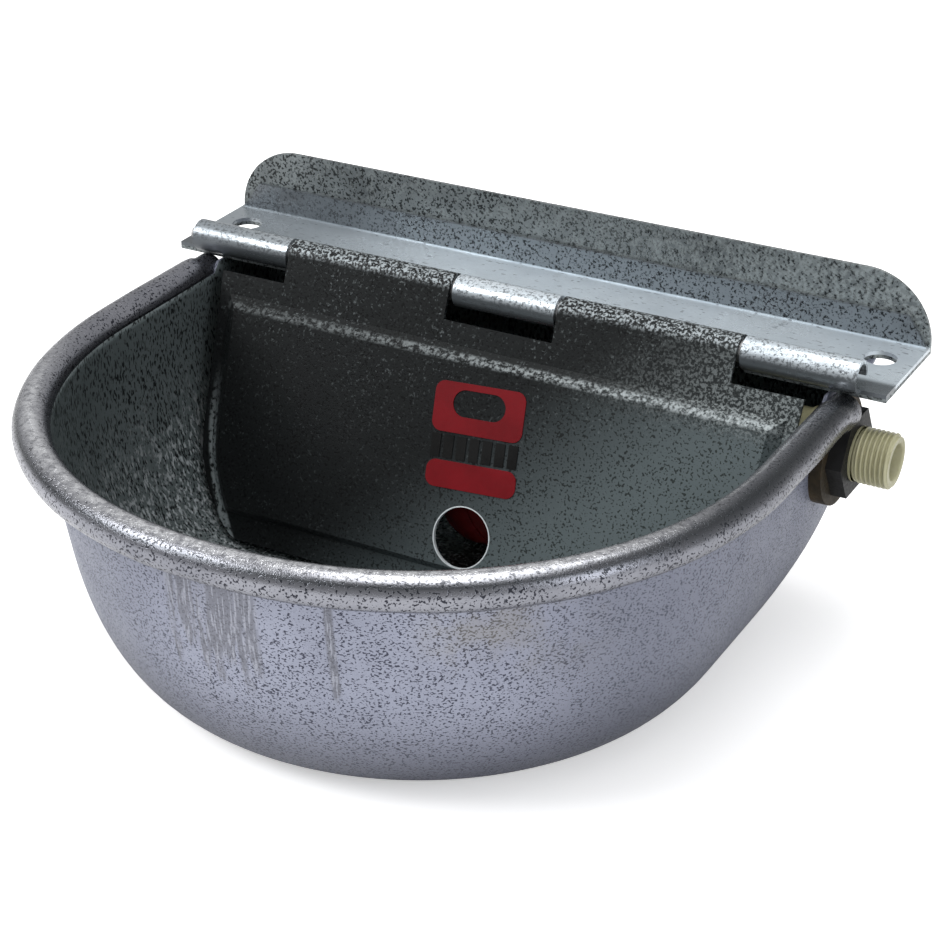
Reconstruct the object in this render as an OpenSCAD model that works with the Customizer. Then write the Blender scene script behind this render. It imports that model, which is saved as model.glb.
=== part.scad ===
// Automatic stock waterer: a drawn D-shaped bowl that hangs on a wall, with a hinged
// cover over a float valve. X runs along the hinge, Y points at the wall, Z is up.
// The origin is on the wall face, in the middle of the mounting plate.

/* [Bowl] */
// Outer radius of the round front, also the half width of the bowl
bowl_r = 131.6; // [131:0.1:133]
// Depth from the top of the rim to the underside
bowl_depth = 105.5; // [105:0.5:112]
// Distance from the back wall of the bowl to the centre of the round front
bowl_back_run = 111; // [108:1:116]
// Sheet thickness of the bowl
bowl_wall = 1.2; // [0.9:0.1:1.6]
// Radius of the rolled rim
rim_r = 6.8; // [6:0.1:8]
// Half width of the flat underside
floor_r = 94; // [88:1:98]
// Height of the rounded corner between wall and floor
corner_h = 82; // [76:1:88]

/* [Mounting plate and hinge bracket] */
// Length of the plate and of the bracket
plate_w = 304; // [300:2:312]
// Height of the plate above the ledge
plate_rise = 27; // [24:1:32]
// Sheet thickness of the plate, the bracket and the cover
sheet = 1.5; // [1.2:0.1:1.6]
// Distance between the two hanging holes
hole_span = 278; // [276:1:282]
// Diameter of the hanging holes
hole_d = 12.5; // [10:0.5:13]
// Height of the bracket's upturned leg
leg_rise = 11.4; // [9:0.2:14]

/* [Hinge] */
// Diameter of the hinge rod
rod_d = 9.54; // [9.5:0.01:9.6]
// Clearance between the rod and the curls
rod_gap = 0.08; // [0.06:0.01:0.1]
// Half width of the middle curl of the bracket
mid_curl = 21.8; // [18:0.2:26]
// Start of each outer curl of the bracket
outer_curl = 97.5; // [92:0.5:104]

/* [Cover] */
// Forward lean of the closed cover, in degrees
cover_lean = 22; // [21.5:0.5:23]
// Half width of the cover at its top corners
cover_half_w = 124.8; // [122:0.2:125]
// Length of the cover below the rod's centre
cover_drop = 117; // [112:0.5:117.5]
// Depth of the curl windows below the rod's centre
window_drop = 11.8; // [10:0.2:14]
// Height of the raised panel
panel_rise = 3.4; // [2:0.2:5]
// Diameter of the water hole
water_hole_d = 23.5; // [20:0.5:26]
// Distance from the rod's centre to the water hole
water_hole_drop = 92; // [88:0.2:96]

/* [Float valve] */
// Major diameter of the inlet thread
inlet_d = 20.9; // [20.6:0.1:21.2]
// Bore of the inlet
inlet_bore_d = 13.6; // [12:0.2:14]
// Distance of the inlet's mouth from the centre plane
inlet_x = 157; // [155:1:162]
// Diameter of the float
float_d = 42; // [36:1:42]
// Droop of the float arm at rest, in degrees
arm_droop = 25; // [24:0.2:25.2]
// Distance from the arm's pivot to the float's centre
arm_reach = 102; // [100:1:103]

/* [Hidden] */
$fn = 64;

// Stations in Y and Z that the sheet parts share
ledge_z = -13;
hole_y = -19;
leg_y = -2 * sheet;
bowl_back_y = -6;
centre_y = bowl_back_y - bowl_back_run;
shelf_z = ledge_z - 2 * sheet;
floor_z = ledge_z - bowl_depth;
ledge_front = -39;
tab_front = -48.5;

// Hinge
curl_in = rod_d / 2 + rod_gap;
curl_out = curl_in + sheet;
rod_y = -48;
rod_z = ledge_z + curl_in;
curl_end = 142;
curl_space = 1.5;
rod_end = 139;
rod_tip_d = 4.6;
rod_tip_len = 3.4;
leg_chamfer = 9;

// Bowl
profile_steps = 7;
above = 20;
reach = 200;
back_corner_w = 50;
back_corner_h = 40;
nook_r = 174;
corner_w = bowl_r - floor_r;
rim_path_r = bowl_r - bowl_wall + rim_r;
rim_z = ledge_z - rim_r;
rim_end = -56;
curl_mouth = 55;
flange_w = 4.5;
rim_relief = 0.4;
overlap = 0.5;

// Cover
cover_edge_gap = 2;
cover_taper = 0.05;
cover_steps = [40, 60, 75, 85, 93, 100, 106, 111, 115];
panel_top = 25.4;
panel_bottom_margin = 8;
panel_foot_inset = 4.4;
panel_inset = 9.4;
label_w = 38.5;
label_h = 41;
label_tilt = 3.5;
label_x = 1;
water_hole_x = 2.5;
label_drop = 53.6;
label_t = 0.3;
label_corner = 4;
label_top_h = 19.5;
label_base_h = 10.5;

// Valve stations
valve_y = -46;
valve_z = ledge_z - 26.5;
pivot_x = 84;
pivot_z = valve_z - 11.5;
barrel_x = 95;
seat_x = 112;
wall_x = bowl_r;
wall_slack = 1.2;
grommet_t = 4.6;
grommet_r = 21;
nut_t = 6;
nut_r = 17;
nut_x = wall_x + grommet_t;
neck_r = inlet_d / 2 - 0.25;
thread_x = nut_x + nut_t + 0.6;
gasket_t = 2.6;
collar_t = 4;
collar_r = 13.8;
collar_x = wall_x - bowl_wall - gasket_t - collar_t;
barrel_r = 12.8;
ear_in = 8.6;
ear_t = 3;
ear_r = 5.5;
pin_r = 2.5;
close_fit = 0.02;
free_fit = 0.08;
plunger_r = 8;
plunger_x = 91.3;
plunger_len = 12.3;
seal_t = 1.5;
seal_r = 5;
seat_tip_x = seat_x - 2.5;
orifice_r = 1.6;
port_r = 3;
port_x = 106.5;
screen_x = inlet_x - 9;
screen_t = 1.6;
screw_r = 2;
screw_start = 78;
screw_stop = plunger_x - 0.4;
arm_leg_t = 3.2;
arm_nut_t = 2.8;
arm_rod_r = 2.4;
socket_r = 4.5;
socket_len = 15;
float_r = float_d / 2;

// ---------- bowl ----------

// Half width of the bowl's outside at height h above the floor
function wall_r(h) = h >= corner_h ? bowl_r
    : floor_r + corner_w * sqrt(1 - pow(1 - h / corner_h, 2));

// Height of step i on a rounded corner that is tall high
function step_h(i, tall) = tall * (1 - cos(90 * i / profile_steps));

// Section of a side wall, from the floor's middle outwards, shrunk by t
function side_profile(t) = concat([[0, t]],
    [for (i = [0:profile_steps])
        [wall_r(step_h(i, corner_h)) - t, max(step_h(i, corner_h), t)]],
    [[bowl_r - t, bowl_depth], [bowl_r - t, bowl_depth + above], [0, bowl_depth + above]]);

// Section of the back wall along Y: upright, then rounded into the floor
function back_profile(t) = concat([[-reach, t]],
    [for (i = [0:profile_steps])
        [bowl_back_run - t - back_corner_w * (1 - sin(90 * i / profile_steps)),
         max(step_h(i, back_corner_h), t)]],
    [[bowl_back_run - t, bowl_depth + above], [-reach, bowl_depth + above]]);

// Round cutter that draws the two back corners in towards the floor
function nook_profile(t) = concat([[0, t]],
    [for (i = [0:profile_steps])
        [floor_r - t + (nook_r - floor_r) * sin(90 * i / profile_steps),
         max(step_h(i, bowl_depth), t)]],
    [[nook_r - t, bowl_depth + above], [0, bowl_depth + above]]);

// Turns a section round the front half
module front_turn() {
    rotate([0, 0, 180]) rotate_extrude(angle = 180) children();
}

// A straight side of the bowl, standing on the round front's centre
module side(t) {
    translate([0, reach, 0]) rotate([90, 0, 0])
        linear_extrude(reach) polygon(side_profile(t));
}

// The bowl as a solid, shrunk by t on its wall and floor
module bowl_solid(t) {
    translate([0, centre_y, floor_z]) intersection() {
        union() {
            front_turn() polygon(side_profile(t));
            side(t);
            mirror([1, 0, 0]) side(t);
        }
        translate([-reach, 0, 0]) rotate([90, 0, 90])
            linear_extrude(2 * reach) polygon(back_profile(t));
        rotate_extrude() polygon(nook_profile(t));
    }
}

// Section of the rolled rim, open where it curls back to the wall
module rim_section() {
    translate([rim_path_r, 0]) difference() {
        circle(rim_r);
        circle(rim_r - bowl_wall);
        polygon([[0, 0], [-2 * rim_r, 0],
            [-2 * rim_r, -2 * rim_r * tan(curl_mouth)]]);
    }
}

module rim_side() {
    run = rim_end - centre_y;
    translate([0, run, 0]) rotate([90, 0, 0]) linear_extrude(run) rim_section();
}

module rim() {
    translate([0, centre_y, rim_z]) {
        front_turn() rim_section();
        rim_side();
        mirror([1, 0, 0]) rim_side();
    }
}

// Everything above the wall's cut edge: lower in front, where the rim sits
module above_wall() {
    translate([-reach, -2 * reach, rim_z + overlap])
        cube([2 * reach, 2 * reach + rim_end, reach]);
    translate([-reach, rim_end - overlap, shelf_z]) cube(2 * reach);
}

// Flat outline of the bowl's back end, shrunk by t
module back_outline(t) {
    intersection() {
        translate([-bowl_r + t, centre_y]) square([2 * (bowl_r - t), reach]);
        translate([0, centre_y]) circle(nook_r - t, $fn = 96);
        translate([-reach, tab_front]) square([2 * reach, bowl_back_y - t - tab_front]);
    }
}

module hanging_holes() {
    for (s = [-1, 1])
        translate([s * hole_span / 2, hole_y, shelf_z - reach / 4])
            cylinder(h = reach / 2, d = hole_d);
}

module bowl() {
    color([0.62, 0.63, 0.68]) {
        difference() {
            bowl_solid(0);
            bowl_solid(bowl_wall);
            above_wall();
            inlet_cylinder(neck_r + 0.5, wall_x - 10, wall_x + 10);
        }
        rim();
        difference() {
            translate([0, 0, shelf_z - bowl_wall]) linear_extrude(bowl_wall) difference() {
                back_outline(-flange_w);
                back_outline(bowl_wall / 2);
            }
            hanging_holes();
        }
    }
}

// ---------- mounting plate and hinge bracket ----------

// Flat outline of the ledge between two stations in Y, with a tab at each end
module ledge_outline(back, tab_start) {
    half = plate_w / 2;
    translate([-half, ledge_front]) square([plate_w, back - ledge_front]);
    for (s = [0, 1]) mirror([s, 0])
        translate([tab_start, tab_front])
            square([half - tab_start, ledge_front - tab_front + overlap]);
}

module mounting_plate() {
    half = plate_w / 2;
    color([0.5, 0.52, 0.52]) {
        difference() {
            translate([0, 0, shelf_z]) linear_extrude(sheet) ledge_outline(0, outer_curl);
            hanging_holes();
        }
        rotate([90, 0, 0]) linear_extrude(sheet) {
            translate([-half, shelf_z]) square([plate_w, 2 * sheet]);
            for (s = [-1, 1]) translate([s * (half - plate_rise), 0]) intersection() {
                translate([0, ledge_z]) circle(plate_rise, $fn = 96);
                translate([-plate_rise, ledge_z]) square([2 * plate_rise, plate_rise]);
            }
            translate([-half + plate_rise, ledge_z])
                square([plate_w - 2 * plate_rise, plate_rise]);
        }
    }
}

// One hinge curl between two stations in X, with its mouth from angle a to angle b
module curl(from, to, a, b) {
    far = 2 * curl_out;
    translate([from, 0, 0]) rotate([90, 0, 90]) linear_extrude(to - from) difference() {
        circle(curl_out);
        circle(curl_in);
        polygon([[0, 0], [far * cos(a), far * sin(a)],
            [far * cos((a + b) / 2), far * sin((a + b) / 2)] * 1.4,
            [far * cos(b), far * sin(b)]]);
    }
}

module hinge_bracket() {
    half = plate_w / 2;
    color([0.66, 0.69, 0.72]) {
        difference() {
            translate([0, 0, ledge_z - sheet]) linear_extrude(sheet) {
                ledge_outline(leg_y + sheet, curl_end);
                for (x = [-curl_end, -mid_curl, outer_curl])
                    translate([x, rod_y])
                        square([x == -mid_curl ? 2 * mid_curl : curl_end - outer_curl,
                            ledge_front - rod_y + overlap]);
            }
            hanging_holes();
        }
        translate([0, leg_y + sheet, 0]) rotate([90, 0, 0]) linear_extrude(sheet)
            polygon([[-half, ledge_z - sheet], [half, ledge_z - sheet],
                [half - leg_chamfer / 3, ledge_z + leg_rise / 4],
                [half - leg_chamfer, ledge_z + leg_rise],
                [-half + leg_chamfer, ledge_z + leg_rise],
                [-half + leg_chamfer / 3, ledge_z + leg_rise / 4]]);
        translate([0, rod_y, rod_z]) {
            curl(-curl_end, -outer_curl, -90, -15);
            curl(-mid_curl, mid_curl, -90, -15);
            curl(outer_curl, curl_end, -90, -15);
        }
    }
}

module hinge_rod() {
    color([0.55, 0.56, 0.58]) translate([0, rod_y, rod_z]) rotate([0, 90, 0]) {
        translate([0, 0, -curl_end]) cylinder(h = curl_end + rod_end, d = rod_d);
        translate([0, 0, -curl_end - rod_tip_len])
            cylinder(h = rod_tip_len + overlap, d = rod_tip_d);
    }
}

// ---------- cover ----------

// Places children on the hinge axis, leaning with the closed cover
module on_cover() {
    translate([0, rod_y, rod_z]) rotate([-cover_lean, 0, 0]) children();
}

// Half width of the cover at distance d below the rod, following the bowl inside
function cover_x(d) =
    let (z = rod_z - d * cos(cover_lean))
    min(cover_half_w - cover_taper * (d - window_drop),
        wall_r(z - floor_z) - bowl_wall - cover_edge_gap);

// Right-hand edge of the cover between two drops, moved in by inset
function cover_edge(top, bottom, inset) = [
    for (d = cover_steps) if (d > top && d < bottom) [cover_x(d) - inset, -d]];

module cover_outline() {
    edge = concat([[cover_x(window_drop), -window_drop]],
        cover_edge(window_drop, cover_drop, 0), [[cover_x(cover_drop), -cover_drop]]);
    for (s = [0, 1]) mirror([s, 0]) {
        polygon(concat([[0, -window_drop]], edge, [[0, -cover_drop]]));
        translate([mid_curl + curl_space, -window_drop - overlap])
            square([outer_curl - mid_curl - 2 * curl_space, window_drop + overlap]);
    }
}

module panel_outline(inset) {
    top = panel_top - panel_inset + inset;
    bottom = cover_drop - panel_bottom_margin - inset / 2;
    right = concat([[cover_x(top) - inset, -top]], cover_edge(top, bottom, inset),
        [[cover_x(bottom) - inset, -bottom]]);
    polygon(concat(right, [for (i = [len(right) - 1:-1:0]) [-right[i][0], right[i][1]]]));
}

// The raised panel as a solid, starting behind the sheet's front by back
module panel_solid(back) {
    thin = 0.05;
    hull() {
        translate([0, -curl_out + back, 0]) rotate([90, 0, 0])
            linear_extrude(thin) panel_outline(panel_foot_inset);
        translate([0, -curl_out - panel_rise + back + thin, 0]) rotate([90, 0, 0])
            linear_extrude(thin) panel_outline(panel_inset);
    }
}

module cover() {
    color([0.3, 0.32, 0.32]) on_cover() difference() {
        union() {
            translate([0, -curl_in, 0]) rotate([90, 0, 0])
                linear_extrude(sheet) cover_outline();
            panel_solid(0);
            for (s = [0, 1]) mirror([s, 0, 0])
                curl(mid_curl + curl_space, outer_curl - curl_space, -180, -100);
        }
        panel_solid(sheet);
        translate([water_hole_x, 0, -water_hole_drop]) rotate([90, 0, 0])
            cylinder(h = 4 * curl_out, d = water_hole_d);
    }
}

// Places a flat drawing on the raised panel, turned like the label
module on_label() {
    on_cover() translate([label_x, -curl_out - panel_rise, -label_drop])
        rotate([90, -label_tilt, 0]) linear_extrude(label_t) children();
}

module round_rect(w, h, r) {
    translate([-w / 2, r]) square([w, h - 2 * r]);
    translate([-w / 2 + r, 0]) square([w - 2 * r, h]);
    for (x = [-w / 2 + r, w / 2 - r], y = [r, h - r]) translate([x, y]) circle(r);
}

module label_top() {
    color([0.68, 0.09, 0.13]) on_label()
        translate([0, label_h / 2 - label_top_h]) difference() {
            round_rect(label_w, label_top_h, label_corner);
            for (x = [-6, 6]) translate([x, label_top_h * 0.6]) circle(5.2);
            translate([-6, label_top_h * 0.6 - 5.2]) square([12, 10.4]);
        }
}

module label_base() {
    color([0.68, 0.09, 0.13]) on_label()
        translate([0, -label_h / 2]) round_rect(label_w, label_base_h, label_corner);
}

module label_bars() {
    bars = 7;
    pitch = label_w / bars;
    color([0.06, 0.06, 0.06]) on_label() {
        for (i = [0:bars - 1])
            translate([-label_w / 2 + (i + 0.14) * pitch, -label_h / 2 + label_base_h + 1])
                square([pitch * 0.72, label_h - label_top_h - label_base_h - 2]);
    }
}

// ---------- inlet ----------

module inlet_cylinder(r, from, to, sides = 64) {
    translate([from, valve_y, valve_z]) rotate([0, 90, 0])
        cylinder(h = to - from, r = r, $fn = sides);
}

module bowl_side(t) {
    translate([0, centre_y, floor_z]) side(t);
}

module inlet_grommet() {
    color([0.55, 0.45, 0.28]) difference() {
        inlet_cylinder(grommet_r, wall_x - 2 * wall_slack, nut_x);
        inlet_cylinder(neck_r + close_fit, wall_x - 10, nut_x + 1);
        bowl_side(0);
        translate([0, rim_end - reach + rim_relief, rim_z - rim_r - rim_relief])
            cube([2 * reach, reach, reach]);
    }
}

module inlet_locknut() {
    color([0.07, 0.07, 0.08]) difference() {
        translate([nut_x, valve_y, valve_z]) rotate([0, 90, 0]) rotate(30)
            cylinder(h = nut_t, r = nut_r, $fn = 6);
        inlet_cylinder(neck_r + close_fit, nut_x - 1, nut_x + nut_t + 1);
    }
}

module inlet_gasket() {
    color([0.12, 0.12, 0.12]) intersection() {
        bowl_side(bowl_wall);
        difference() {
            inlet_cylinder(collar_r, collar_x + collar_t, wall_x);
            inlet_cylinder(neck_r + close_fit, collar_x, wall_x + 1);
        }
    }
}

module ear_outline() {
    translate([pivot_x, pivot_z]) circle(ear_r);
    polygon([[barrel_x + 6, valve_z + 7], [barrel_x + 6, valve_z - 10],
        [pivot_x + 2, pivot_z - ear_r + 0.4], [pivot_x - ear_r + 0.4, pivot_z + 2],
        [barrel_x - 2, valve_z + 7]]);
}

module valve_body() {
    mouth_chamfer = 1.6;
    color([0.83, 0.8, 0.6]) difference() {
        union() {
            inlet_cylinder(neck_r, seat_x, thread_x + overlap);
            inlet_cylinder(inlet_d / 2, thread_x, inlet_x - mouth_chamfer);
            translate([inlet_x - mouth_chamfer, valve_y, valve_z]) rotate([0, 90, 0])
                cylinder(h = mouth_chamfer, r1 = inlet_d / 2, r2 = inlet_d / 2 - mouth_chamfer);
            inlet_cylinder(collar_r, collar_x, collar_x + collar_t);
            inlet_cylinder(barrel_r, barrel_x, collar_x + overlap);
            for (y = [valve_y - ear_in - ear_t, valve_y + ear_in])
                translate([0, y + ear_t, 0]) rotate([90, 0, 0])
                    linear_extrude(ear_t) ear_outline();
        }
        inlet_cylinder(inlet_bore_d / 2, seat_x - 1, inlet_x + 1);
        inlet_cylinder(plunger_r, pivot_x - 20, seat_x);
        translate([pivot_x, valve_y, pivot_z]) rotate([90, 0, 0])
            cylinder(h = 4 * ear_in, r = pin_r + close_fit, center = true);
        translate([port_x, valve_y, valve_z - 2 * barrel_r]) cylinder(h = 2 * barrel_r, r = port_r);
    }
}

module inlet_screen() {
    hole_r = 0.7;
    pitch = 2.6;
    color([0.6, 0.6, 0.62]) difference() {
        inlet_cylinder(inlet_bore_d / 2 - close_fit, screen_x, screen_x + screen_t);
        for (iy = [-2:2], iz = [-2:2])
            if (norm([iy, iz]) * pitch < inlet_bore_d / 2 - 1)
                translate([screen_x - 1, valve_y + iy * pitch, valve_z + iz * pitch])
                    rotate([0, 90, 0]) cylinder(h = screen_t + 2, r = hole_r, $fn = 16);
    }
}

module valve_seat() {
    color([0.76, 0.6, 0.3]) difference() {
        union() {
            inlet_cylinder(inlet_bore_d / 2 - close_fit, seat_x, seat_x + 6);
            inlet_cylinder(seal_r - 1.2, seat_tip_x, seat_x + 1);
        }
        inlet_cylinder(orifice_r, seat_tip_x - 1, seat_x + 7);
    }
}

// ---------- plunger ----------

module valve_plunger() {
    groove_x = plunger_x + 6;
    color([0.2, 0.22, 0.24]) difference() {
        inlet_cylinder(plunger_r - free_fit, plunger_x, plunger_x + plunger_len);
        inlet_cylinder(seal_r, plunger_x + plunger_len - seal_t, plunger_x + plunger_len + 1);
        difference() {
            inlet_cylinder(plunger_r + 1, groove_x, groove_x + 1.8);
            inlet_cylinder(plunger_r - 1.6, groove_x - 1, groove_x + 3);
        }
    }
}

module plunger_seal() {
    color([0.08, 0.08, 0.08])
        inlet_cylinder(seal_r - close_fit, plunger_x + plunger_len - seal_t,
            plunger_x + plunger_len + seal_t);
}

module plunger_ring() {
    color([0.1, 0.1, 0.1]) translate([plunger_x + 6.9, valve_y, valve_z]) rotate([0, 90, 0])
        rotate_extrude() translate([plunger_r - 0.9, 0]) circle(0.68, $fn = 24);
}

// ---------- float arm ----------

module pivot_pin() {
    head_t = 1.4;
    color([0.76, 0.74, 0.7])
        translate([pivot_x, valve_y - ear_in - ear_t - head_t, pivot_z]) rotate([-90, 0, 0]) {
            cylinder(h = head_t, r = pin_r + 1.4);
            cylinder(h = 2 * (ear_in + ear_t) + head_t + 2.2, r = pin_r);
        }
}

module pivot_clip() {
    color([0.5, 0.5, 0.52])
        translate([pivot_x, valve_y + ear_in + ear_t + 0.1, pivot_z]) rotate([-90, 0, 0])
            difference() {
                cylinder(h = 0.9, r = pin_r + 1.8);
                translate([0, 0, -1]) cylinder(h = 3, r = pin_r + close_fit);
            }
}

// Places children on the pivot with -X running down the drooping arm
module on_arm() {
    translate([pivot_x, valve_y, pivot_z]) rotate([0, -arm_droop, 0]) children();
}

// A cylinder along the arm, between two distances from the pivot
module arm_cylinder(r, from, to, sides = 64) {
    on_arm() translate([-from, 0, 0]) rotate([0, -90, 0])
        cylinder(h = to - from, r = r, $fn = sides);
}

module arm_lever() {
    hub_half = ear_in - 0.5;
    leg_top = 15.5;
    leg_half = 5.6;
    color([0.78, 0.62, 0.32]) difference() {
        union() {
            translate([pivot_x, valve_y, pivot_z]) rotate([90, 0, 0])
                cylinder(h = 2 * hub_half, r = 5, center = true);
            translate([pivot_x - arm_leg_t / 2, valve_y - leg_half, pivot_z])
                cube([arm_leg_t, 2 * leg_half, leg_top]);
            arm_cylinder(socket_r, 0, socket_len);
        }
        translate([pivot_x, valve_y, pivot_z]) rotate([90, 0, 0])
            cylinder(h = 4 * ear_in, r = pin_r + free_fit, center = true);
        inlet_cylinder(screw_r + close_fit, pivot_x - 10, pivot_x + 5);
        arm_cylinder(arm_rod_r + close_fit, socket_len / 2, socket_len + 1);
    }
}

module adjusting_screw() {
    color([0.7, 0.7, 0.72]) difference() {
        inlet_cylinder(screw_r, screw_start, screw_stop);
        translate([screw_start - 1, valve_y - 0.4, valve_z - screw_r - 1])
            cube([2, 0.8, 2 * screw_r + 2]);
    }
}

module adjusting_nut() {
    right = pivot_x - arm_leg_t / 2;
    color([0.72, 0.58, 0.3]) difference() {
        inlet_cylinder(4, right - arm_nut_t, right, 6);
        inlet_cylinder(screw_r + close_fit, right - arm_nut_t - 1, right + 1);
    }
}

module arm_rod() {
    color([0.78, 0.62, 0.32])
        arm_cylinder(arm_rod_r, socket_len / 2, arm_reach + float_r + 5);
}

module rod_nut() {
    color([0.72, 0.58, 0.3]) difference() {
        arm_cylinder(4.4, socket_len, socket_len + 3.2, 6);
        arm_cylinder(arm_rod_r + close_fit, socket_len - 1, socket_len + 5);
    }
}

module float_boss() {
    color([0.6, 0.06, 0.08]) difference() {
        arm_cylinder(6.2, arm_reach - float_r - 3, arm_reach - float_r + 4);
        arm_cylinder(arm_rod_r + close_fit, arm_reach - float_r - 4, arm_reach - float_r + 5);
        on_arm() translate([-arm_reach, 0, 0]) sphere(float_r, $fn = 96);
    }
}

module float_ball() {
    color([0.7, 0.08, 0.1]) {
        on_arm() translate([-arm_reach, 0, 0]) rotate([0, 90, 0]) rotate_extrude()
            difference() {
                union() {
                    circle(float_r, $fn = 96);
                    translate([0, -1]) square([float_r + 0.6, 2]);
                }
                translate([-2 * float_r, -2 * float_r])
                    square([2 * float_r + arm_rod_r + close_fit, 4 * float_r]);
            }
    }
}

module float_cap_nut() {
    color([0.72, 0.58, 0.3]) difference() {
        arm_cylinder(4.4, arm_reach + float_r, arm_reach + float_r + 3.4, 6);
        arm_cylinder(arm_rod_r + close_fit, arm_reach + float_r - 1, arm_reach + float_r + 6);
    }
}

bowl();
mounting_plate();
hinge_bracket();
hinge_rod();
cover();
label_top();
label_base();
label_bars();
inlet_grommet();
inlet_locknut();
inlet_gasket();
valve_body();
inlet_screen();
valve_seat();
pivot_pin();
pivot_clip();
valve_plunger();
plunger_seal();
plunger_ring();
arm_lever();
adjusting_screw();
adjusting_nut();
arm_rod();
rod_nut();
float_boss();
float_ball();
float_cap_nut();
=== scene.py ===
import math
import bmesh
import bpy
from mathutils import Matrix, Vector, noise


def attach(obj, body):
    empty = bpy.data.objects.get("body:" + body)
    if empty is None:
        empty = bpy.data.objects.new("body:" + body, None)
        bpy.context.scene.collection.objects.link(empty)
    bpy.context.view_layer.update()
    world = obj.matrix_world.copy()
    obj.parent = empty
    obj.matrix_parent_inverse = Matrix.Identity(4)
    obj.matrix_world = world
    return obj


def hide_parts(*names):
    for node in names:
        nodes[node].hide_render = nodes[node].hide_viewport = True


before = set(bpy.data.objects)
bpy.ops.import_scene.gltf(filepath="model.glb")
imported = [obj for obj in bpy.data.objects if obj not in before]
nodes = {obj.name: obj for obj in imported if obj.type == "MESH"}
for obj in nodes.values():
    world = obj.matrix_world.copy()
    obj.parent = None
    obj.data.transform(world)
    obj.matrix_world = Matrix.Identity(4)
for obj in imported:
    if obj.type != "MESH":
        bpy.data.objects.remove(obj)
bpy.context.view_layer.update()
MM = 0.001

# ---------------------------------------------------------------- node helpers


class Mat:
    """A procedural material, built node by node in object coordinates."""

    def __init__(self, name):
        self.mat = bpy.data.materials.new(name)
        self.mat.use_nodes = True
        self.tree = self.mat.node_tree
        self.shader = self.tree.nodes["Principled BSDF"]
        self.coords = self.tree.nodes.new("ShaderNodeTexCoord").outputs["Object"]

    def put(self, socket, value):
        if isinstance(value, bpy.types.NodeSocket):
            self.tree.links.new(value, socket)
        elif isinstance(value, (tuple, list)) and len(value) == 3 and len(socket.default_value) == 4:
            socket.default_value = (*value, 1.0)
        else:
            socket.default_value = value

    def set(self, **values):
        for key, value in values.items():
            self.put(self.shader.inputs[key.replace("_", " ")], value)

    def stretched(self, scale):
        n = self.tree.nodes.new("ShaderNodeMapping")
        self.put(n.inputs["Vector"], self.coords)
        n.inputs["Scale"].default_value = scale
        return n.outputs[0]

    def noise(self, scale, detail=3.0, rough=0.55, vector=None, distortion=0.0):
        n = self.tree.nodes.new("ShaderNodeTexNoise")
        self.put(n.inputs["Vector"], vector or self.coords)
        n.inputs["Scale"].default_value = scale
        n.inputs["Detail"].default_value = detail
        n.inputs["Roughness"].default_value = rough
        n.inputs["Distortion"].default_value = distortion
        return n.outputs["Fac"]

    def ramp(self, value, low, high, start=0.0, end=1.0):
        n = self.tree.nodes.new("ShaderNodeMapRange")
        n.interpolation_type = "SMOOTHSTEP"
        self.put(n.inputs["Value"], value)
        for key, number in (("From Min", low), ("From Max", high), ("To Min", start), ("To Max", end)):
            n.inputs[key].default_value = number
        return n.outputs["Result"]

    def maths(self, operation, a, b):
        n = self.tree.nodes.new("ShaderNodeMath")
        n.operation = operation
        self.put(n.inputs[0], a)
        self.put(n.inputs[1], b)
        return n.outputs[0]

    def mix(self, factor, a, b, blend="MIX"):
        n = self.tree.nodes.new("ShaderNodeMix")
        n.data_type = "RGBA"
        n.blend_type = blend
        self.put(n.inputs[0], factor)
        self.put(n.inputs[6], a)
        self.put(n.inputs[7], b)
        return n.outputs[2]

    def axis(self, name):
        n = self.tree.nodes.new("ShaderNodeSeparateXYZ")
        self.put(n.inputs[0], self.coords)
        return n.outputs[name]

    def window(self, value, low, high, soft):
        """1 between low and high, falling to 0 within soft on either side."""
        rise, fall = self.ramp(value, low - soft, low), self.ramp(value, high + soft, high)
        return self.maths("MULTIPLY", rise, fall)

    def times(self, *values):
        """The product of any number of values."""
        out = values[0]
        for value in values[1:]:
            out = self.maths("MULTIPLY", out, value)
        return out

    def painted(self, name):
        """Red, green and blue of a colour attribute that the mesh code stores."""
        n = self.tree.nodes.new("ShaderNodeAttribute")
        n.attribute_name = name
        split = self.tree.nodes.new("ShaderNodeSeparateColor")
        self.put(split.inputs[0], n.outputs["Color"])
        return split.outputs

    def bump(self, height, strength, distance):
        n = self.tree.nodes.new("ShaderNodeBump")
        self.put(n.inputs["Height"], height)
        n.inputs["Strength"].default_value = strength
        n.inputs["Distance"].default_value = distance
        last = self.shader.inputs["Normal"].links
        if last:
            self.tree.links.new(last[0].from_socket, n.inputs["Normal"])
        self.tree.links.new(n.outputs[0], self.shader.inputs["Normal"])


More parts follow.
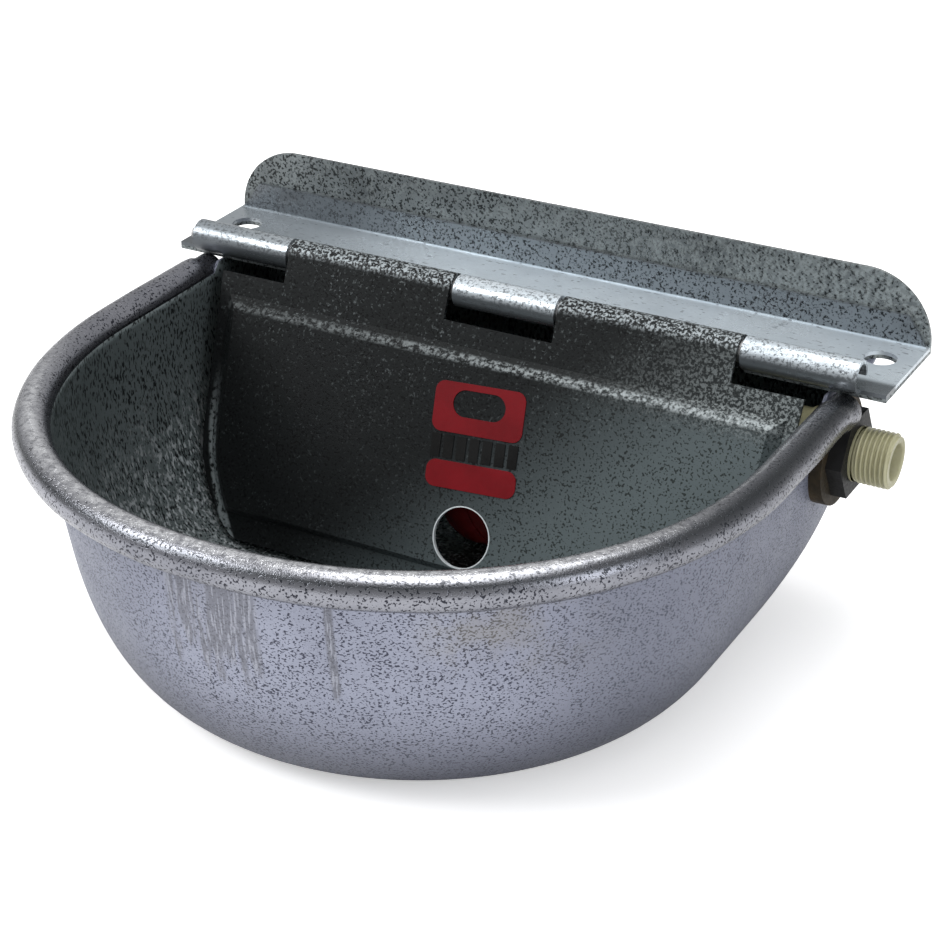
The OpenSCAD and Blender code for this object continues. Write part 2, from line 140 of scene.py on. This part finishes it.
def zinc(name, light, mid, dark, cover=0.5, size=1.0, metallic=0.7, rough=(0.3, 0.48), bump=0.2,
         stretch=(1.0, 1.0, 1.0), cloudy=0.25):
    """Hot-dip zinc: fine dark specks on a soft cloudy base. cover sets how dense the specks are."""
    m = Mat(name)
    place = m.stretched(stretch)
    cloud = m.noise(26 / size, 4, 0.6)
    patches = m.noise(75 / size, 3, 0.6)
    speck = m.noise(1050 / size, 1.3, 0.5, place)
    fine = m.noise(2400 / size, 2, 0.6, place)
    density = m.maths("MULTIPLY", m.maths("SUBTRACT", patches, 0.5), 0.16)
    edge = 0.66 - 0.22 * cover
    spots = m.ramp(m.maths("ADD", speck, density), edge + 0.03, edge + 0.11)
    base = m.mix(m.ramp(cloud, 0.5 - cloudy, 0.5 + cloudy * 1.6), light, mid)
    base = m.mix(m.ramp(fine, 0.42, 0.68, 0.0, 0.35), base, mid)
    colour = m.mix(spots, base, dark)
    m.set(Base_Color=colour, Metallic=metallic,
          Roughness=m.maths("ADD", m.ramp(cloud, 0.3, 0.7, rough[0], rough[1]),
                            m.maths("MULTIPLY", spots, 0.12)))
    m.bump(m.maths("SUBTRACT", fine, spots), bump, 0.0002)
    m.bump(cloud, 0.1, 0.002)
    m.spots, m.colour = spots, colour
    return m


def plastic(name, colour, shade, rough=0.42, grain=900.0, bump=0.15, gloss=0.5):
    m = Mat(name)
    cloud = m.noise(60, 4, 0.6)
    fine = m.noise(grain, 3, 0.6)
    m.set(Base_Color=m.mix(m.ramp(cloud, 0.35, 0.7), colour, shade), Metallic=0.0, Specular_IOR_Level=gloss,
          Roughness=m.ramp(fine, 0.3, 0.7, rough - 0.06, rough + 0.12))
    m.bump(fine, bump, 0.0001)
    return m


def turned_metal(name, colour, shade, rough=0.3, metallic=0.95):
    m = Mat(name)
    cloud = m.noise(90, 4, 0.6)
    lines = m.noise(300, 2, 0.5, m.stretched((8.0, 1.0, 1.0)))
    m.set(Base_Color=m.mix(m.ramp(cloud, 0.35, 0.7), colour, shade), Metallic=metallic,
          Roughness=m.ramp(lines, 0.3, 0.7, rough - 0.08, rough + 0.14))
    m.bump(lines, 0.2, 0.0001)
    return m


# ---------------------------------------------------------------- mesh helpers


def mesh_object(name, verts, faces, smooth=True):
    mesh = bpy.data.meshes.new(name)
    mesh.from_pydata([tuple(c * MM for c in v) for v in verts], [], faces)
    mesh.validate()
    if smooth:
        mesh.polygons.foreach_set("use_smooth", [True] * len(mesh.polygons))
    mesh.update()
    obj = bpy.data.objects.new(name, mesh)
    bpy.context.scene.collection.objects.link(obj)
    return obj


def grid_faces(rows, cols, wrap=False):
    faces = []
    for i in range(rows - 1):
        for j in range(cols if wrap else cols - 1):
            k = (j + 1) % cols
            faces.append((i * cols + j, i * cols + k, (i + 1) * cols + k, (i + 1) * cols + j))
    return faces


def paint(obj, m):
    obj.data.materials.clear()
    obj.data.materials.append(m.mat)


def modifier(obj, kind, **values):
    mod = obj.modifiers.new(kind.lower(), kind)
    for key, value in values.items():
        setattr(mod, key, value)
    return mod


def smoothstep(a, b, x):
    t = min(1.0, max(0.0, (x - a) / (b - a)))
    return t * t * (3 - 2 * t)


# ---------------------------------------------------------------- materials

# Where marks lie, in metres: the hinge rod, the cover's panel and water hole, and the body's marks along X
ROD_Y = -0.048
ROD_Z = -0.00815
COVER_LEAN = math.radians(22.0)
PANEL_TOP = 0.0254
HOLE_X = 0.0025
HOLE_DOWN = 0.092
HOLE_R = 0.01175
BROAD_STREAK = (-0.021, 0.012)
THIN_STREAK = (0.0375, 0.0392)
STAIN = (0.074, 0.104)


def streaked_body():
    """The outer body's zinc: rubbed streaks and faint stains below the rim, with painted shade darkening the
    sides and the foot.
    """
    m = zinc("body_zinc", (0.345, 0.365, 0.455), (0.27, 0.285, 0.36), (0.042, 0.046, 0.074), 0.64,
             metallic=0.4, rough=(0.34, 0.48), bump=0.6, cloudy=0.3, stretch=(1.0, 1.0, 1.4))
    x, z = m.axis("X"), m.axis("Z")
    front = m.ramp(m.axis("Y"), -0.19, -0.21)
    reach = m.noise(260, 2, 0.5, m.stretched((1.0, 1.0, 0.04)))
    height = m.maths("ADD", z, m.maths("MULTIPLY", m.maths("SUBTRACT", reach, 0.5), 0.06))
    fall = m.ramp(height, -0.068, -0.056)
    broad = m.times(m.window(x, *BROAD_STREAK, 0.003), fall, m.ramp(reach, 0.36, 0.5, 0.35, 1.0))
    thin = m.times(m.window(x, *THIN_STREAK, 0.0012), fall)
    wear_and_painted_light = m.times(m.maths("MAXIMUM", broad, thin), front)
    lines = m.ramp(m.noise(1100, 2, 0.5, m.stretched((1.0, 1.0, 0.02))), 0.5, 0.62)
    rubbed = m.mix(lines, (0.15, 0.154, 0.18), (0.33, 0.34, 0.39))
    colour = m.mix(m.maths("MULTIPLY", wear_and_painted_light, 0.8), m.colour, rubbed)
    stain = m.times(m.window(x, *STAIN, 0.014), m.ramp(z, -0.075, -0.04),
                    m.ramp(m.noise(45, 4, 0.65), 0.42, 0.7))
    colour = m.mix(m.maths("MULTIPLY", stain, 0.4), colour, (0.27, 0.25, 0.20))
    # Painted shade: darker on the left and right sides
    painted_side_shade = m.maths("MAXIMUM", m.ramp(x, 0.0, -0.06), m.ramp(x, 0.08, 0.115))
    colour = m.mix(m.maths("MULTIPLY", painted_side_shade, 0.58), colour, (0.105, 0.115, 0.15))
    # Painted shade: darker towards the foot
    painted_foot_shade = m.ramp(z, -0.065, -0.112, 0.0, 0.8)
    m.set(Base_Color=m.mix(painted_foot_shade, colour, (0.085, 0.09, 0.115)))
    return m


def inner_wall_with_painted_light():
    """The bowl's inside: zinc painted darker than the outside as shade, with upright specks, and pale
    upright flecks low down as painted highlights.
    """
    # Painted shade: the inside's zinc is given darker colours than the outside's
    m = zinc("inner_zinc_painted_shade", (0.20, 0.235, 0.24), (0.09, 0.112, 0.113), (0.012, 0.015, 0.016), 0.72,
             metallic=0.6, stretch=(1.0, 1.0, 0.4))
    flecks = m.ramp(m.noise(700, 3, 0.6, m.stretched((1.0, 1.0, 0.35))), 0.5, 0.62)
    # Painted highlights: pale flecks low down inside the bowl
    low = m.times(m.ramp(m.axis("Z"), -0.045, -0.09), m.ramp(m.noise(50, 3, 0.6), 0.3, 0.5))
    m.set(Base_Color=m.mix(m.times(flecks, low), m.colour, (0.55, 0.59, 0.61)))
    return m


def marbled_plate():
    """The plate's mottled dull zinc, a little paler towards its right-hand end."""
    m = zinc("plate_zinc", (0.21, 0.235, 0.24), (0.075, 0.085, 0.09), (0.012, 0.015, 0.016), 0.78,
             metallic=0.5, cloudy=0.2)
    veins = m.ramp(m.noise(210, 4, 0.7), 0.5, 0.62)
    colour = m.mix(m.maths("MULTIPLY", veins, 0.3), m.colour, (0.33, 0.365, 0.365))
    pale = m.times(m.ramp(m.axis("X"), -0.06, 0.13), m.ramp(m.noise(520, 3, 0.6), 0.42, 0.6))
    m.set(Base_Color=m.mix(m.maths("MULTIPLY", pale, 0.5), colour, (0.36, 0.40, 0.40)))
    return m


def rim_with_painted_light():
    """The rolled rim: painted highlights along its crest, and painted dark reflection in a band below it and
    on the right.
    """
    m = zinc("rim_zinc", (0.33, 0.335, 0.37), (0.20, 0.205, 0.235), (0.035, 0.037, 0.048), 0.62,
             metallic=0.95, rough=(0.15, 0.28), bump=0.35)
    # Painted light from the colour attribute: red holds a painted highlight along the crest, green a painted
    # dark reflection
    wear_and_painted_light = m.painted("wear_and_painted_light")
    patch = m.ramp(m.noise(420, 4, 0.7), 0.36, 0.6, 0.25, 1.0)
    colour = m.mix(m.times(wear_and_painted_light[0], patch), m.colour, (0.86, 0.87, 0.90))
    m.set(Base_Color=m.mix(wear_and_painted_light[1], colour, (0.045, 0.05, 0.055)))
    return m


def cover_with_painted_reflection():
    """The cover's zinc, painted near black as a dark reflection and flecked lighter above, with painted
    reflection making it paler to the right and below, and painted highlights along the panel's edge, the
    side lips, the hinge curls and round the water hole.
    """
    # Painted dark reflection: the base colours are set near black
    m = zinc("cover_zinc", (0.010, 0.0115, 0.012), (0.005, 0.006, 0.0065), (0.002, 0.0024, 0.0027), 0.6,
             metallic=0.3, rough=(0.4, 0.55))
    x, y, z = m.axis("X"), m.axis("Y"), m.axis("Z")
    flecks = m.ramp(m.noise(760, 3, 0.65), 0.57, 0.68)
    forward = m.maths("MULTIPLY", m.maths("SUBTRACT", y, ROD_Y), -math.sin(COVER_LEAN))
    below = m.maths("MULTIPLY", m.maths("SUBTRACT", z, ROD_Z), math.cos(COVER_LEAN))
    down = m.maths("SUBTRACT", forward, below)
    patches = m.ramp(m.noise(60, 3, 0.6), 0.4, 0.62, 0.25, 1.0)
    upper = m.times(flecks, patches, m.ramp(down, 0.06, 0.02, 0.35, 1.0))
    colour = m.mix(m.maths("MULTIPLY", upper, 0.7), m.colour, (0.12, 0.137, 0.14))
    # Painted reflection: paler to the right and below
    lean = m.maths("ADD", x, m.maths("MULTIPLY", down, 1.1))
    pale = m.ramp(lean, 0.045, 0.15, 0.0, 0.7)
    grain = m.ramp(m.noise(900, 3, 0.65), 0.45, 0.6)
    lower = m.mix(m.spots, (0.15, 0.185, 0.195), (0.04, 0.05, 0.05))
    higher = m.mix(grain, (0.03, 0.036, 0.037), (0.30, 0.335, 0.34))
    speckled = m.mix(m.ramp(down, 0.034, 0.022), lower, higher)
    colour = m.mix(pale, colour, speckled)
    # Painted highlight along the panel's raised edge
    edge = m.times(m.window(down, PANEL_TOP - 0.0019, PANEL_TOP + 0.0001, 0.0014),
                   m.ramp(m.noise(620, 4, 0.7), 0.42, 0.6),
                   m.ramp(x, -0.12, 0.11, 0.2, 1.0), m.window(x, -0.118, 0.118, 0.003))
    colour = m.mix(m.maths("MULTIPLY", edge, 0.75), colour, (0.40, 0.44, 0.45))
    # Painted highlight along the cover's side lips
    bend = m.maths("MAXIMUM", m.maths("SUBTRACT", down, 0.06), 0.0)
    rounding = m.maths("MULTIPLY", m.times(bend, bend), 5.2)
    inset = m.maths("ADD", m.maths("ABSOLUTE", x, 0.0), rounding)
    painted_lip_highlight = m.times(m.window(inset, 0.1165, 0.1195, 0.0015), m.ramp(down, 0.045, 0.085),
                  m.ramp(m.noise(500, 3, 0.65), 0.38, 0.55))
    colour = m.mix(m.maths("MULTIPLY", painted_lip_highlight, 0.7), colour, (0.36, 0.40, 0.41))
    # Painted highlight on the tops of the hinge curls
    painted_crown_highlight = m.times(m.ramp(down, 0.001, -0.003), m.ramp(m.noise(900, 3, 0.6), 0.46, 0.6))
    colour = m.mix(m.maths("MULTIPLY", painted_crown_highlight, 0.85), colour, (0.36, 0.40, 0.42))
    # Painted highlight round the water hole's cut edge
    across, along = m.maths("SUBTRACT", x, HOLE_X), m.maths("SUBTRACT", down, HOLE_DOWN)
    away = m.maths("SQRT", m.maths("ADD", m.times(across, across), m.times(along, along)), 0.0)
    rim = m.ramp(away, HOLE_R + 0.0006, HOLE_R + 0.00025)
    m.set(Base_Color=m.mix(rim, colour, (0.62, 0.66, 0.68)), Specular_IOR_Level=0.2)
    return m


def bright_ledge():
    """Bright brushed zinc on the ledge, specks on the rolled knuckles with painted shade on their lower
    half, and the upturned leg painted dark as shade, with specks.
    """
    m = zinc("ledge_zinc", (0.72, 0.79, 0.84), (0.52, 0.58, 0.63), (0.30, 0.33, 0.36), 0.2, 1.1,
             metallic=0.6, rough=(0.22, 0.38), stretch=(0.35, 1.0, 1.0), cloudy=0.15)
    marks = m.ramp(m.noise(900, 3, 0.65), 0.5, 0.62)
    roll = m.ramp(m.axis("Y"), -0.037, -0.041)
    # Marks, plus painted shade on the lower half of the rolled knuckles
    marks_and_painted_shade = m.maths("ADD", m.maths("MULTIPLY", marks, 0.75), m.ramp(m.axis("Z"), -0.003, -0.0095))
    colour = m.mix(m.times(m.maths("MINIMUM", marks_and_painted_shade, 0.85), roll), m.colour, (0.065, 0.072, 0.078))
    # Painted shade: the upturned leg darkened, with specks
    painted_leg_shade = m.times(m.ramp(m.axis("Z"), -0.0128, -0.0122), m.ramp(m.axis("Y"), -0.0038, -0.0032))
    speckled = m.mix(marks, (0.19, 0.215, 0.235), (0.012, 0.014, 0.016))
    colour = m.mix(painted_leg_shade, colour, speckled)
    left = m.ramp(m.axis("X"), -0.03, -0.13, 0.0, 0.62)
    m.set(Base_Color=m.mix(left, colour, (0.075, 0.083, 0.092)))
    return m


body_zinc = streaked_body()
inner_zinc_painted_shade = inner_wall_with_painted_light()
cover_zinc = cover_with_painted_reflection()
plate_zinc = marbled_plate()
ledge_zinc = bright_ledge()
rim_zinc = rim_with_painted_light()
rod_zinc = zinc("rod_zinc", (0.42, 0.42, 0.42), (0.3, 0.3, 0.3), (0.08, 0.08, 0.08), 0.3, 0.8, 0.95)
red_print = plastic("red_print", (0.17, 0.004, 0.008), (0.13, 0.003, 0.006), 0.35, 2000, 0.05, 0.2)
black_print = plastic("black_print", (0.004, 0.004, 0.004), (0.008, 0.008, 0.008), 0.4, 2000, 0.05, 0.15)
nylon = plastic("nylon", (0.40, 0.385, 0.24), (0.30, 0.285, 0.165), 0.36)
grommet_tan = plastic("grommet_tan", (0.055, 0.038, 0.018), (0.018, 0.014, 0.008), 0.6, gloss=0.2)
nut_black = plastic("nut_black", (0.006, 0.006, 0.006), (0.014, 0.014, 0.014), 0.45, gloss=0.2)
gasket_black = plastic("gasket_black", (0.015, 0.015, 0.015), (0.03, 0.03, 0.03), 0.75)
plunger_grey = plastic("plunger_grey", (0.03, 0.034, 0.04), (0.05, 0.055, 0.06), 0.4)
float_red = plastic("float_red", (0.42, 0.02, 0.02), (0.28, 0.012, 0.012), 0.4)
brass = turned_metal("brass", (0.55, 0.36, 0.12), (0.38, 0.24, 0.09))
steel = turned_metal("steel", (0.45, 0.45, 0.45), (0.3, 0.3, 0.3))

looks = {
    "bowl": body_zinc, "mounting_plate": plate_zinc, "hinge_bracket": ledge_zinc, "hinge_rod": rod_zinc,
    "cover": cover_zinc, "label_top": red_print, "label_base": red_print, "label_bars": black_print,
    "inlet_grommet": grommet_tan, "inlet_locknut": nut_black, "inlet_gasket": gasket_black,
    "valve_body": nylon, "inlet_screen": steel, "valve_seat": brass, "pivot_pin": steel,
    "pivot_clip": steel, "valve_plunger": plunger_grey, "plunger_seal": gasket_black,
    "plunger_ring": gasket_black, "arm_lever": brass, "adjusting_screw": steel, "adjusting_nut": brass,
    "arm_rod": brass, "rod_nut": brass, "float_boss": float_red, "float_ball": float_red,
    "float_cap_nut": brass,
}
for name, m in looks.items():
    paint(nodes[name], m)

# ---------------------------------------------------------------- bowl

# The bowl's sizes, in millimetres as in the CAD model
LEDGE_Z = -13.0
DEPTH = 105.5
WALL = 1.2
RIM_R = 6.8
CORNER_H = 82.0
HALF_W = 131.6
FLOOR_R = 94.0
CENTRE_Y = -118.0
BACK_Y = -6.0
RIM_END = -56.0
FLANGE_DOWN = 3.0
AROUND = 288


def half_width(d):
    h = DEPTH - d
    if h >= CORNER_H:
        return HALF_W
    return FLOOR_R + (HALF_W - FLOOR_R) * math.sqrt(max(0.0, 1 - (1 - h / CORNER_H) ** 2))


def wall_gap(x, y, d):
    """Distance outside the bowl's outer surface at depth d, negative inside."""
    t = smoothstep(6.0, 50.0, d)
    h = DEPTH - d
    centre = -114.7 - 1.3 * t
    a = half_width(d)
    b = a + 2.7 * (1 - t)
    n = 2.11 - 0.11 * t
    if y < centre:
        side = ((abs(x) / a) ** n + ((centre - y) / b) ** n) ** (1 / n) * a - a
    else:
        side = abs(x) - a
    back = BACK_Y if h >= 40 else BACK_Y - 50.0 * (1 - math.sqrt(max(0.0, 1 - (1 - h / 40.0) ** 2)))
    nook = 96.0 + 78.0 * math.sqrt(max(0.0, 1 - (1 - h / DEPTH) ** 2))
    nook_gap = math.hypot(x, y + 117.0) - nook - 25.0 * smoothstep(-50.0, -117.0, y)
    gaps = (side, y - back, nook_gap)
    peak = max(gaps)
    soft = 4.0
    return peak + soft * math.log(sum(math.exp((g - peak) / soft) for g in gaps))


def ring(d, inset=0.0):
    """Outer points of the bowl at depth d, counted round from the right."""
    points = []
    for i in range(AROUND):
        angle = 2 * math.pi * i / AROUND
        ux, uy = math.cos(angle), math.sin(angle)
        low, high = 20.0, 200.0
        for _ in range(26):
            mid = (low + high) / 2
            if wall_gap(mid * ux, CENTRE_Y + mid * uy, d) > -inset:
                high = mid
            else:
                low = mid
        points.append((low * ux, CENTRE_Y + low * uy))
    return points


def build_bowl():
    """The drawn shell: rings from the rim down to the floor, closed by a flat underside."""
    depths = [RIM_R + (DEPTH - CORNER_H - RIM_R) * i / 6 for i in range(6)]
    depths += [DEPTH - CORNER_H * (1 - math.sin(math.radians(90 * i / 26))) for i in range(26)]
    depths += [DEPTH - 0.02]
    high_ring = ring(FLANGE_DOWN)
    verts = []
    for k, d in enumerate(depths):
        for i, (x, y) in enumerate(ring(d)):
            z = LEDGE_Z - d
            if k == 0 and y > RIM_END:
                x, y = high_ring[i]
                z = LEDGE_Z - FLANGE_DOWN
            verts.append((x, y, z))
    last = verts[-AROUND:]
    for scale in (0.93, 0.8, 0.6, 0.35):
        verts += [(x * scale, CENTRE_Y + (y - CENTRE_Y) * scale, LEDGE_Z - DEPTH) for x, y, z in last]
    rows = len(depths) + 4
    faces = grid_faces(rows, AROUND, True)
    faces.append(tuple((rows - 1) * AROUND + i for i in range(AROUND)))
    shell = mesh_object("bowl_shell", verts, [f[::-1] for f in faces])
    modifier(shell, "SOLIDIFY", thickness=WALL * MM, offset=-1.0)
    return shell


def build_rim():
    """The rolled rim: an open tube that follows the wall's top, with its painted highlights and painted dark
    reflection kept as a colour attribute.
    """
    top = ring(RIM_R, WALL)
    front = [i for i in range(AROUND) if top[i][1] < RIM_END + 6.0]
    order = sorted(front, key=lambda i: (i - AROUND // 4) % AROUND)
    rows = []
    painted_light_marks = []
    steps = 30
    for i in order:
        x, y = top[i]
        ax, ay = top[i - 1]
        bx, by = top[(i + 1) % AROUND]
        nx, ny = by - ay, ax - bx
        length = math.hypot(nx, ny)
        nx, ny = nx / length, ny / length
        dent = 0.35 * noise.noise(Vector((x / 28.0, y / 28.0, 4.0)))
        dip = 1.7 * smoothstep(RIM_END - 6.0, RIM_END, y)
        row = []
        for j in range(steps + 1):
            turn = math.radians(180.0 - 303.0 * j / steps)
            r = RIM_R + dent * (0.5 + 0.5 * math.cos(turn))
            out = RIM_R + r * math.cos(turn)
            angle = math.degrees(turn)
            # Painted highlight along the crest at the front, and a painted dark reflection band just below
            # it
            crest = math.exp(-((angle - 88) / 26) ** 2) * smoothstep(-130.0, -205.0, y)
            below = 0.8 * math.exp(-((angle - 40) / 13) ** 2) * smoothstep(-120.0, -190.0, y)
            # Painted highlight line along the top on the right, and painted dark reflection on the right's
            # outer side
            gleam = math.exp(-((angle - 112) / 9) ** 2) * smoothstep(60.0, 110.0, x)
            right = 0.95 * math.exp(-((angle - 60) / 42) ** 2) * smoothstep(60.0, 120.0, x) * (1 - crest)
            crest = max(crest, gleam)
            painted_light_marks.append((crest, max(below, right), 0.0, 1.0))
            row.append((x + nx * out, y + ny * out, LEDGE_Z - RIM_R - dip + r * math.sin(turn)))
        rows.append(row)
    verts = [v for row in rows for v in row]
    faces = grid_faces(len(rows), steps + 1)
    last = (len(rows) - 1) * (steps + 1)
    faces += [tuple(range(steps, -1, -1)), tuple(last + j for j in range(steps + 1))]
    rim = mesh_object("bowl_rim", verts, faces)
    layer = rim.data.color_attributes.new("wear_and_painted_light", "FLOAT_COLOR", "POINT")
    for item, colour in zip(layer.data, painted_light_marks):
        item.color = colour
    modifier(rim, "SOLIDIFY", thickness=WALL * MM, offset=-1.0)
    return rim


def build_flange():
    """The flat flange on which the plate and the bracket lie."""
    inner = ring(FLANGE_DOWN, 1.0)
    outer = ring(FLANGE_DOWN, -4.5)
    order = sorted((i for i in range(AROUND) if outer[i][1] > -47.0),
                   key=lambda i: (i + AROUND // 4) % AROUND)
    verts = []
    for i in order:
        for x, y in (inner[i], outer[i]):
            verts.append((x, min(y, -1.6), LEDGE_Z - FLANGE_DOWN - 0.05))
    flange = mesh_object("bowl_flange", verts, grid_faces(len(order), 2), False)
    modifier(flange, "SOLIDIFY", thickness=WALL * MM, offset=-1.0)
    return flange


INLET_Y = -46.0
INLET_Z = -39.5


def build_inlet():
    """The valve body as designed up to the nut, then a stub with a real helical thread."""
    start, end, pitch, depth, crest, bore = 143.2, 157.0, 1.814, 1.05, 10.45, 6.8
    body = nodes["valve_body"]
    shape = bmesh.new()
    shape.from_mesh(body.data)
    shape.transform(body.matrix_world)
    bmesh.ops.bisect_plane(shape, geom=shape.verts[:] + shape.edges[:] + shape.faces[:],
                           plane_co=(start * MM, 0, 0), plane_no=(1, 0, 0), clear_outer=True)
    mesh = bpy.data.meshes.new("inlet_body")
    shape.to_mesh(mesh)
    shape.free()
    valve = bpy.data.objects.new("inlet_body", mesh)
    bpy.context.scene.collection.objects.link(valve)
    across, along = 96, 90
    verts = []

    def add_point(x, r, turn):
        verts.append((x, INLET_Y + r * math.cos(turn), INLET_Z + r * math.sin(turn)))

    for k in range(along + 1):
        x = start + (end - start) * k / along
        fade = smoothstep(start, start + 1.2, x) * smoothstep(end, end - 1.0, x)
        for i in range(across):
            turn = 2 * math.pi * i / across
            phase = (x / pitch - i / across) % 1.0
            ridge = 1.0 - abs(2.0 * phase - 1.0)
            add_point(x, crest - depth + depth * smoothstep(0.12, 0.82, ridge) * fade, turn)
    for x, r in ((end, crest - 1.3), (end + 0.05, bore + 0.5), (end - 0.5, bore), (start, bore)):
        for i in range(across):
            add_point(x, r, 2 * math.pi * i / across)
    stub = mesh_object("inlet_thread", verts, grid_faces(along + 5, across, True))
    for piece in (valve, stub):
        paint(piece, nylon)
        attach(piece, "housing")
    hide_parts("valve_body")


shell, rim, flange = build_bowl(), build_rim(), build_flange()
for piece, m in ((shell, body_zinc), (rim, rim_zinc), (flange, body_zinc)):
    paint(piece, m)
    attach(piece, "housing")
shell.data.materials.append(inner_zinc_painted_shade.mat)
shell.modifiers["solidify"].material_offset = 1
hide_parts("bowl")
build_inlet()
# Small bevels, so that the sheet edges catch the light
for name in ("mounting_plate", "hinge_bracket", "cover"):
    modifier(nodes[name], "BEVEL", width=0.3 * MM, segments=2, limit_method="ANGLE", angle_limit=0.7)

# ---------------------------------------------------------------- stage, light and camera


def build_stage():
    half, z = 6000, LEDGE_Z - DEPTH - 0.5
    corners = [(-half, -half, z), (half, -half, z), (half, half, z), (-half, half, z)]
    floor = mesh_object("floor", corners, [(0, 1, 2, 3)], False)
    m = Mat("floor_paper")
    m.set(Base_Color=m.mix(m.ramp(m.noise(3.0), 0.3, 0.7), (0.93, 0.93, 0.93), (0.95, 0.95, 0.95)),
          Roughness=0.9, Emission_Color=(1.0, 1.0, 1.0),
          Emission_Strength=m.ramp(m.tree.nodes.new("ShaderNodeLightPath").outputs["Is Camera Ray"],
                                   0.0, 1.0, 0.0, 0.42))
    paint(floor, m)
    world = bpy.data.worlds.new("studio")
    world.use_nodes = True
    world.node_tree.nodes["Background"].inputs[0].default_value = (1.0, 1.0, 1.0, 1.0)
    world.node_tree.nodes["Background"].inputs[1].default_value = 0.55
    bpy.context.scene.world = world


def area(name, place, target, size, power, colour=(1, 1, 1)):
    light = bpy.data.lights.new(name, "AREA")
    light.shape = "RECTANGLE"
    light.size, light.size_y = size
    light.energy = power
    light.color = colour
    obj = bpy.data.objects.new(name, light)
    obj.location = place
    obj.rotation_euler = (Vector(target) - Vector(place)).to_track_quat("-Z", "Y").to_euler()
    bpy.context.scene.collection.objects.link(obj)


def build_lights():
    middle = (0.0, -0.12, -0.05)
    area("key", (-1.25, -1.1, 1.2), middle, (0.9, 0.9), 27.0)
    area("top", (0.1, -0.1, 1.5), middle, (1.4, 1.0), 14.0)
    area("right", (1.5, -0.5, 0.5), middle, (0.6, 1.0), 6.0, (0.93, 0.95, 1.0))


def build_camera():
    camera = bpy.data.cameras.new("camera")
    camera.sensor_width = 36.0
    camera.lens = 92.22
    camera.clip_start = 0.01
    camera.clip_end = 50.0
    obj = bpy.data.objects.new("camera", camera)
    around, above = math.radians(28.697), math.radians(27.514)
    level = math.cos(above)
    looking = Vector((-math.sin(around) * level, math.cos(around) * level, -math.sin(above)))
    obj.location = (0.392854, -0.797242, 0.359594)
    obj.rotation_euler = looking.to_track_quat("-Z", "Y").to_euler()
    bpy.context.scene.collection.objects.link(obj)
    bpy.context.scene.camera = obj


build_stage()
build_lights()
build_camera()
bpy.context.scene.view_settings.view_transform = "Standard"
